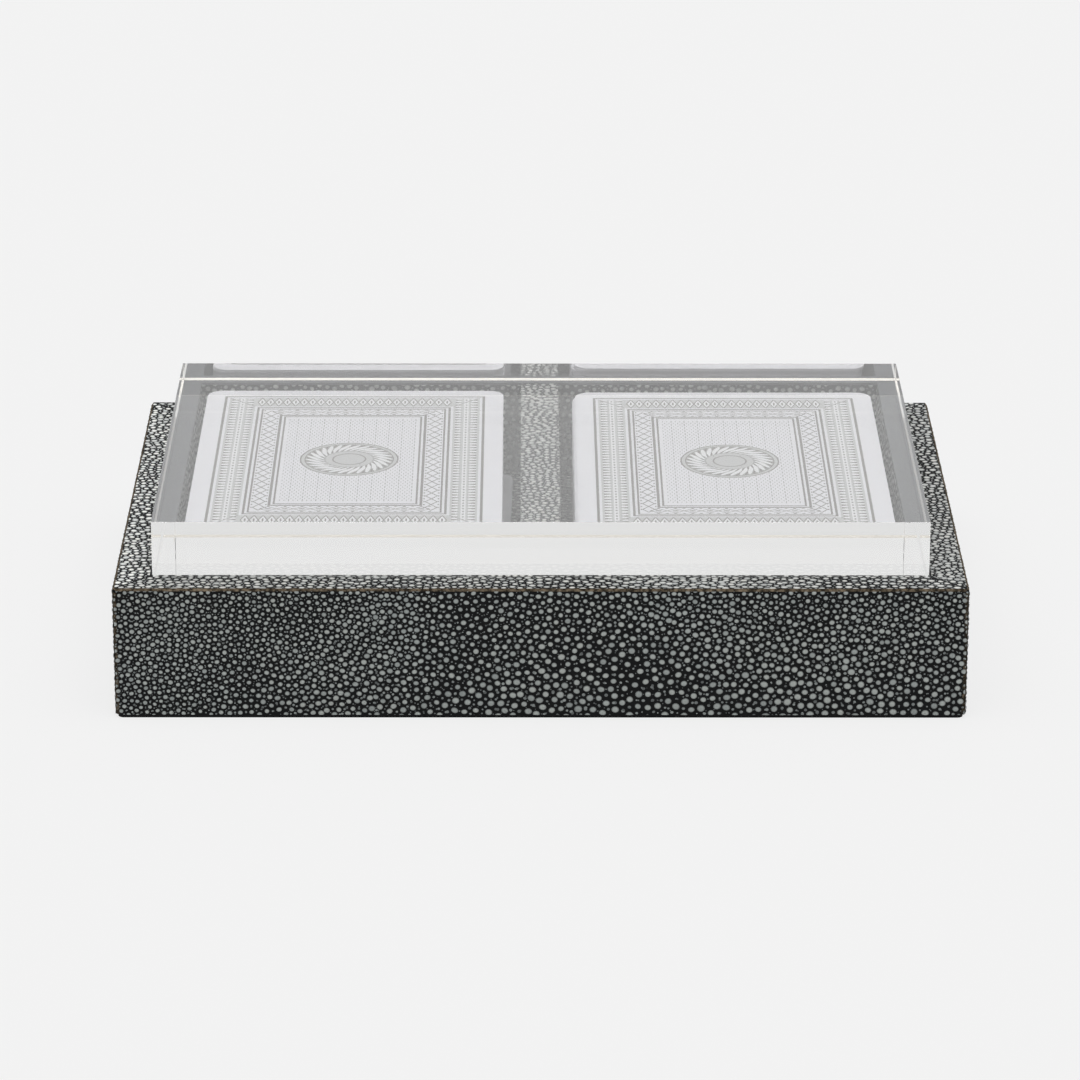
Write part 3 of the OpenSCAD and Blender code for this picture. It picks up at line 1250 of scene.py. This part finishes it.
def frame_outlines(half_w, half_l, outer, inner):
    """Four mitred bars of a rectangular frame, between two insets from the card's edge"""
    a, b = half_w - outer, half_l - outer
    c, d = half_w - inner, half_l - inner
    return [
        [(-a, -b), (a, -b), (c, -d), (-c, -d)],
        [(a, -b), (a, b), (c, d), (c, -d)],
        [(a, b), (-a, b), (-c, d), (c, d)],
        [(-a, b), (-a, -b), (-c, -d), (-c, d)],
    ]


def ring_outlines(outer, inner, steps=64):
    """Flat ring, or a disc where the inner radius is zero"""

    def on(radius, i):
        """Point on a circle"""
        angle = math.tau * i / steps
        return (radius * math.cos(angle), radius * math.sin(angle))

    if inner == 0.0:
        return [[on(outer, i) for i in range(steps)]]
    return [[on(outer, i), on(outer, i + 1), on(inner, i + 1), on(inner, i)] for i in range(steps)]


def oval(x, y, rx, ry, steps=8):
    """Small oval"""
    angles = [math.tau * i / steps for i in range(steps)]
    return [(x + rx * math.cos(angle), y + ry * math.sin(angle)) for angle in angles]


def stroke(x0, y0, x1, y1, width):
    """Straight stroke of a given width"""
    length = math.hypot(x1 - x0, y1 - y0)
    nx, ny = -(y1 - y0) / length * width / 2, (x1 - x0) / length * width / 2
    return [(x0 + nx, y0 + ny), (x0 - nx, y0 - ny), (x1 - nx, y1 - ny), (x1 + nx, y1 + ny)]


def petal(inner, outer, swirl, width, shift, steps=7):
    """Curved petal between two radii, swept by an angle, widest in its middle"""
    left, right = [], []
    for i in range(steps + 1):
        t = i / steps
        radius = inner + (outer - inner) * t
        angle = shift + swirl * (1.0 - t) ** 1.4
        spread = 0.5 * width * math.sin(math.pi * (0.06 + 0.88 * t)) ** 0.8 / radius
        left.append((radius * math.cos(angle + spread), radius * math.sin(angle + spread)))
        right.append((radius * math.cos(angle - spread), radius * math.sin(angle - spread)))
    return right + left[::-1]


def mirrored(outlines, across=True, along=False):
    """Outlines with their mirror images, whose points run the same way round"""
    result = list(outlines)
    if across:
        result += [[(-x, y) for x, y in reversed(o)] for o in result]
    if along:
        result += [[(x, -y) for x, y in reversed(o)] for o in result]
    return result


def lay_teeth(lay, w, h):
    """Teeth along both edges of the side bands, with a dotted line between them"""
    pitch = 1.62
    count = 48
    y = -(count - 1) / 2 * pitch
    x = -w
    for outer, inner in ((5.4, 6.8), (7.3, 8.3), (8.9, 10.1)):
        lay(PAPER, 2, mirrored([box_outline(x + outer, 5.3 - h, x + inner, h - 5.3)]))
    root, tip = 0.44, 0.1
    teeth = [
        [(x + 5.4, y - root), (x + 7.0, y - tip), (x + 7.0, y + tip), (x + 5.4, y + root)],
        [(x + 8.7, y + tip), (x + 8.7, y - tip), (x + 10.1, y - root), (x + 10.1, y + root)],
    ]
    lay(INK, 3, mirrored(teeth), count, (0, pitch))
    lay(INK, 3, mirrored([oval(x + 7.8, y, 0.22, 0.36)]), count, (0, pitch))


def lay_diamonds(lay, w, h):
    """White diamonds between crossed lines along the ends, and mitre lines in the corners"""
    pitch = 1.8
    count = 23
    x = -(count - 1) / 2 * pitch
    y = h - 7.75
    diamond = [(x - 0.86, y), (x, y - 2.55), (x + 0.86, y), (x, y + 2.55)]
    lay(PAPER, 2, mirrored([diamond], False, True), count, (pitch, 0))
    lay(INK, 3, mirrored([oval(x, y, 0.2, 1.0)], False, True), count, (pitch, 0))
    half = pitch / 2
    crossed = [stroke(x + side, y, x, y + tip, 0.24) for side in (-half, half) for tip in (2.7, -2.7)]
    lay(INK, 3, mirrored(crossed, False, True), count, (pitch, 0))
    lay(DEEP, 4, mirrored([stroke(5.0 - w, h - 5.0, 10.5 - w, h - 10.5, 0.3)], True, True))


def lay_chains(lay, w, h):
    """Chains of crossed lines between dotted ones, along the sides and the ends"""
    cell = 3.44
    far = cell / 2
    for along, reach, middle in ((True, h - 13.0, w - 14.3), (False, w - 13.0, h - 14.3)):
        count = int(2 * reach / cell)
        first = -(count - 1) / 2 * cell
        thick = 0.25 if along else 0.22
        chain = [stroke(side, 0.0, 0.0, tip, thick) for tip in (far, -far) for side in (-1.2, 1.2)]
        for side in (-1.45, 1.45):
            chain += [oval(side, 0.0, 0.18, 0.36), oval(side, far, 0.18, 0.36)]
        if along:
            placed = [[(x - middle, y + first) for x, y in o] for o in chain]
            lay(INK, 1, mirrored(placed), count, (0, cell))
        else:
            chain.append(oval(0.0, 0.0, 0.3, 0.7))
            placed = [[(y + first, x + middle) for x, y in reversed(o)] for o in chain]
            lay(INK, 1, mirrored(placed, False, True), count, (cell, 0))


def lay_field(lay, w, h):
    """Field of staggered dashes, with a heavier column at every third"""
    edge = 17.9
    pitch, dash = 0.92, 2.0
    columns = int(2 * (w - edge) / pitch)
    rows = int(2 * (h - edge) / dash)
    x = -(columns - 1) / 2 * pitch
    y = -(rows - 1) / 2 * dash
    light = box_outline(x - 0.085, y - 0.34, x + 0.085, y + 0.34)
    lay(DEEP, 1, [light], columns, (pitch, 0), rows, (0, dash))
    between = [(px + pitch / 2, py + dash / 2) for px, py in light]
    lay(DEEP, 1, [between], columns - 1, (pitch, 0), rows - 1, (0, dash))
    x += 2 * pitch
    heavy = box_outline(x - 0.1, y - 0.62, x + 0.1, y + 0.62)
    lay(DEEP, 2, [heavy], columns // 3, (3 * pitch, 0), rows, (0, dash))


def lay_rosette(lay, r, petals):
    """Rosette of curved petals between rings"""
    turn = math.tau / petals
    lay(TINT, 2, ring_outlines(r, 0.0))
    lay(INK, 3, ring_outlines(r, 0.97 * r) + ring_outlines(0.905 * r, 0.885 * r))
    lay(DEEP, 3, ring_outlines(0.885 * r, 0.48 * r))
    lay(PAPER, 4, [petal(0.5 * r, 0.88 * r, 0.46, 0.125 * r, 0.0)], petals, turn=turn)
    lay(INK, 5, [petal(0.75 * r, 0.885 * r, 0.13, 0.06 * r, turn / 2)], petals, turn=turn)
    lay(INK, 5, [petal(0.5 * r, 0.62 * r, 0.17, 0.045 * r, 0.28 + turn / 2)], petals, turn=turn)
    lay(INK, 4, ring_outlines(0.345 * r, 0.315 * r))
    lay(TINT, 3, ring_outlines(0.315 * r, 0.0))


def card_back(half_w, half_l, cards, materials):
    """Print of a card's back, round its middle: ornamental frames, a dashed field and a rosette"""
    parts = []

    def lay(tone, layer, outlines, count=1, step=(0, 0), rows=1, row_step=(0, 0), turn=0.0):
        """Prints outlines, in millimetres, once or many times"""
        scaled = [[(x * MM, y * MM) for x, y in o] for o in outlines]
        mesh = grown(
            polygon_mesh("mark", scaled, layer * cards.film),
            array_tree(),
            {
                "Count": count,
                "Step": (step[0] * MM, step[1] * MM, 0.0),
                "Rows": rows,
                "Row step": (row_step[0] * MM, row_step[1] * MM, 0.0),
                "Turn": turn,
                "Material": materials[tone],
            },
        )
        parts.append((mesh, tone))

    w, h = half_w / MM, half_l / MM
    for tone, outer, inner in FRAMES:
        lay(tone, 1, frame_outlines(w, h, outer, inner))
    lay_teeth(lay, w, h)
    lay_diamonds(lay, w, h)
    lay_chains(lay, w, h)
    lay_field(lay, w, h)
    lay_rosette(lay, cards.rosette / MM, cards.petals)
    return joined("card back", parts, materials)


class CARDBOX_OT_cards(bpy.types.Operator):
    """Gives the cards their stock and prints the backs of the top cards"""

    bl_idname = "cardbox.cards"
    bl_label = "Cards"

    def execute(self, context):
        cards = settings("cards")
        dress([f"{hand}_{suit}" for hand in HANDS for suit in SUITS], paper_material())
        materials = [
            ink_material("bare paper", cards.paper),
            ink_material("line ink", cards.ink),
            ink_material("half tone", cards.tint),
            ink_material("deep tone", cards.deep),
        ]
        for hand in HANDS:
            low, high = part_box(hand + "_jokers")
            half_w = (high.x - low.x) / 2 - CARD_SCATTER
            half_l = (high.y - low.y) / 2 - CARD_SCATTER
            mesh = card_back(half_w, half_l, cards, materials)
            middle = (low + high) / 2
            mesh.transform(Matrix.Translation((middle.x, middle.y, high.z)))
            piece(hand + "_card_back", mesh, hand + "_deck")
        return {"FINISHED"}


class CARDBOX_OT_lid(bpy.types.Operator):
    """Makes the clear slab with polished faces and scraped bevels, which carry a painted glow"""

    bl_idname = "cardbox.lid"
    bl_label = "Clear lid"

    def execute(self, context):
        lid = settings("lid")
        low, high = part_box("lid")
        low.z += lid.air
        middle = (low + high) / 2
        half = (high - low) / 2
        fine = lid.upper_bevel

        def loop(z, inset_x, inset_front, inset_back):
            """Outline of the slab at one height, from the front side round to the left one"""
            x, front, back = half.x - inset_x, inset_front - half.y, half.y - inset_back
            outline = (
                (-x + fine, front),
                (x - fine, front),
                (x, front + fine),
                (x, back - fine),
                (x - fine, back),
                (-x + fine, back),
                (-x, back - fine),
                (-x, front + fine),
            )
            return [(middle.x + px, middle.y + py, z) for px, py in outline]

        rest = lid.long_bevel - lid.short_bevel
        levels = (
            (low.z, lid.short_bevel, lid.long_bevel, lid.long_bevel),
            (low.z + lid.short_bevel, 0.0, rest, rest),
            (low.z + lid.long_bevel, 0.0, 0.0, 0.0),
            (high.z - lid.back_bevel, 0.0, 0.0, 0.0),
            (high.z - fine, 0.0, 0.0, lid.back_bevel - fine),
            (high.z, fine, fine, lid.back_bevel),
        )
        in_front, behind = 0, 4
        scraped = ((in_front, behind), (in_front, behind), (), (behind,), (behind,))
        work = bmesh.new()
        loops = [[work.verts.new(p) for p in loop(*level)] for level in levels]
        for below, above, rough_sides in zip(loops, loops[1:], scraped):
            for i in range(len(below)):
                j = (i + 1) % len(below)
                face = work.faces.new((below[i], below[j], above[j], above[i]))
                face.material_index = 1 if i in rough_sides else 0
        work.faces.new(loops[0][::-1])
        work.faces.new(loops[-1])
        mesh = mesh_from(work, "lid")
        polished = acrylic_material("polished acrylic", 0.0, 0.006, 1.0, (0.985, 0.99, 0.99))
        rough = acrylic_material("scraped acrylic", 0.4, 0.5, 0.0, (0.82, 0.8, 0.76))
        # Painted glow: the scraped bevels give off light of their own, standing in for light gathered
        # inside the slab
        painted_bevel_glow = {"Emission Color": (1.0, 0.95, 0.87, 1.0), "Emission Strength": lid.glow}
        feed(rough.node_tree, rough.node_tree.nodes["Principled BSDF"], painted_bevel_glow)
        mesh.materials.append(polished)
        mesh.materials.append(rough)
        piece("lid_slab", mesh, "lid", ("lid",))
        return {"FINISHED"}


# Stage


def seen_rays(tree):
    """Rays that show something: seen straight, mirrored or through the lid"""
    path = tree.nodes.new("ShaderNodeLightPath").outputs
    straight = calc(tree, "MAXIMUM", path["Is Camera Ray"], path["Is Glossy Ray"])
    return calc(tree, "MAXIMUM", straight, path["Is Transmission Ray"])


def lay_floor(scene, stage):
    """Pale floor that is evened out to the backdrop where it is seen, and keeps the object's shadow"""
    work = bmesh.new()
    bmesh.ops.create_grid(work, x_segments=4, y_segments=4, size=FLOOR_REACH)
    mesh = mesh_from(work, "floor")
    material, tree, shader = new_material("pale floor")[:3]
    matt = {"Base Color": (stage.backdrop,) * 3 + (1.0,), "Roughness": 1.0, "Specular IOR Level": 0.0}
    feed(tree, shader, matt)
    inputs = {"Color": (1.0, 1.0, 1.0, 1.0), "Strength": stage.backdrop}
    glow = add(tree, "ShaderNodeEmission", inputs)
    share = calc(tree, "MULTIPLY", seen_rays(tree), stage.even)
    inputs = {0: share, 1: shader.outputs[0], 2: glow.outputs[0]}
    even = add(tree, "ShaderNodeMixShader", inputs)
    tree.links.new(even.outputs[0], tree.nodes["Material Output"].inputs["Surface"])
    mesh.materials.append(material)
    floor = bpy.data.objects.new("floor", mesh)
    scene.collection.objects.link(floor)


def light_world(scene, stage):
    """World that lights the object evenly, and shows a pale backdrop ahead and a darker room behind"""
    world = bpy.data.worlds.new("studio")
    scene.world = world
    world.use_nodes = True
    tree = world.node_tree
    aim = tree.nodes.new("ShaderNodeTexCoord").outputs["Generated"]
    ahead = split_xyz(tree, aim)["Y"]
    path = tree.nodes.new("ShaderNodeLightPath").outputs
    backdrop = ranged(tree, path["Is Glossy Ray"], 0.0, 1.0, stage.backdrop, stage.shine)
    backdrop = ranged(tree, path["Is Transmission Ray"], 0.0, 1.0, backdrop, stage.through)
    shown = ranged(tree, ahead, ROOM_END, BACKDROP_START, stage.room, backdrop)
    strength = ranged(tree, seen_rays(tree), 0.0, 1.0, stage.ambient, shown)
    feed(tree, tree.nodes["Background"], {"Color": (1.0, 1.0, 1.0, 1.0), "Strength": strength})


def hang_softboxes(scene, stage):
    """Two wide lamps that share the light which the world leaves"""
    share = (1.0 - stage.ambient) / len(SOFTBOXES)
    for name, around in SOFTBOXES.items():
        lamp = bpy.data.lights.new(name, "SUN")
        lamp.energy = math.pi * share / math.sin(SOFTBOX_RISE)
        lamp.angle = SOFTBOX_SPREAD
        holder = bpy.data.objects.new(name, lamp)
        holder.rotation_euler = (math.pi / 2 - SOFTBOX_RISE, 0.0, around)
        scene.collection.objects.link(holder)


def set_camera(scene, stage):
    """Camera at the place that was fitted to the object's edges"""
    data = bpy.data.cameras.new("camera")
    data.sensor_width = SENSOR_WIDTH
    data.lens = stage.lens
    data.clip_start = 0.01
    camera = bpy.data.objects.new("camera", data)
    camera.location = stage.position
    turned = (
        Matrix.Rotation(stage.pan, 4, "Z")
        @ Matrix.Rotation(math.pi / 2 - stage.tilt, 4, "X")
        @ Matrix.Rotation(stage.roll, 4, "Z")
    )
    camera.rotation_euler = turned.to_euler()
    scene.collection.objects.link(camera)
    scene.camera = camera


class CARDBOX_OT_stage(bpy.types.Operator):
    """Sets the floor, the backdrop, the light and the camera"""

    bl_idname = "cardbox.stage"
    bl_label = "Stage"

    def execute(self, context):
        scene = context.scene
        stage = settings("stage")
        lay_floor(scene, stage)
        light_world(scene, stage)
        hang_softboxes(scene, stage)
        set_camera(scene, stage)
        scene.view_settings.view_transform = "Standard"
        scene.cycles.max_bounces = 16
        scene.cycles.glossy_bounces = 12
        scene.cycles.transmission_bounces = 16
        return {"FINISHED"}


OPERATORS = (
    CARDBOX_OT_boards,
    CARDBOX_OT_grounds,
    CARDBOX_OT_outer_beads,
    CARDBOX_OT_rim_beads,
    CARDBOX_OT_well_beads,
    CARDBOX_OT_cards,
    CARDBOX_OT_lid,
    CARDBOX_OT_stage,
)


class CARDBOX_PT_panel(bpy.types.Panel):
    """Lists the steps that dress the card box, and their settings"""

    bl_idname = "CARDBOX_PT_panel"
    bl_label = "Covered card box"
    bl_space_type = "VIEW_3D"
    bl_region_type = "UI"
    bl_category = "Card Box"

    def draw(self, context):
        layout = self.layout
        for operator in OPERATORS:
            layout.operator(operator.bl_idname)
        for name in SETTINGS:
            group = settings(name)
            box = layout.box()
            box.label(text=name.capitalize())
            for prop in group.__annotations__:
                box.prop(group, prop)


CLASSES = (*SETTINGS.values(), *OPERATORS, CARDBOX_PT_panel)


def register():
    """Registers the classes and hangs the settings on the scene"""
    for cls in CLASSES:
        bpy.utils.register_class(cls)
    for name, cls in SETTINGS.items():
        setattr(bpy.types.Scene, "card_box_" + name, PointerProperty(type=cls))


def unregister():
    """Takes the settings and the classes away again"""
    for name in SETTINGS:
        delattr(bpy.types.Scene, "card_box_" + name)
    for cls in reversed(CLASSES):
        bpy.utils.unregister_class(cls)


def main():
    """Dresses the frame"""
    register()
    bpy.ops.cardbox.boards()
    bpy.ops.cardbox.grounds()
    bpy.ops.cardbox.outer_beads()
    bpy.ops.cardbox.rim_beads()
    bpy.ops.cardbox.well_beads()
    bpy.ops.cardbox.cards()
    bpy.ops.cardbox.lid()
    bpy.ops.cardbox.stage()


if __name__ == "__main__":
    main()
